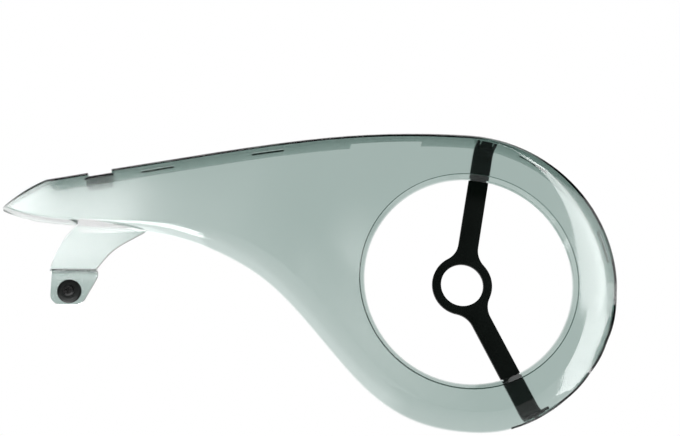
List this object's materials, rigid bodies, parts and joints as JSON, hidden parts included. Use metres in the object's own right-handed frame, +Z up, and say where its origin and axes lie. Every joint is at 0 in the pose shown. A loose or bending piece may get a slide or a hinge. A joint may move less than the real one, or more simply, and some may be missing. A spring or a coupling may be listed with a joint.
{
  "type": "bicycle chain guard",
  "caption": "Clear smoke plastic bicycle chain guard with a round crank opening, a black bottom-bracket bracket and a screwed rear arm.",
  "frame": {"origin": "on the crank axis, in the rear seat face of the mounting bracket", "axes": "+Y along the crank axis towards the bicycle frame, +X to the front of the bicycle, +Z up"},
  "size_m": [0.4982, 0.038, 0.2464],
  "materials": {
    "clear_smoke": "polished, see-through",
    "black_plastic": "fine satin",
    "black_rubber": "satin",
    "black_screw": "satin black"
  },
  "bodies": {
    "root": {"guard_shell": "clear_smoke", "mounting_bracket": "black_plastic", "rear_bush": "black_rubber", "rear_screw": "black_screw"}
  },
  "joints": []
}
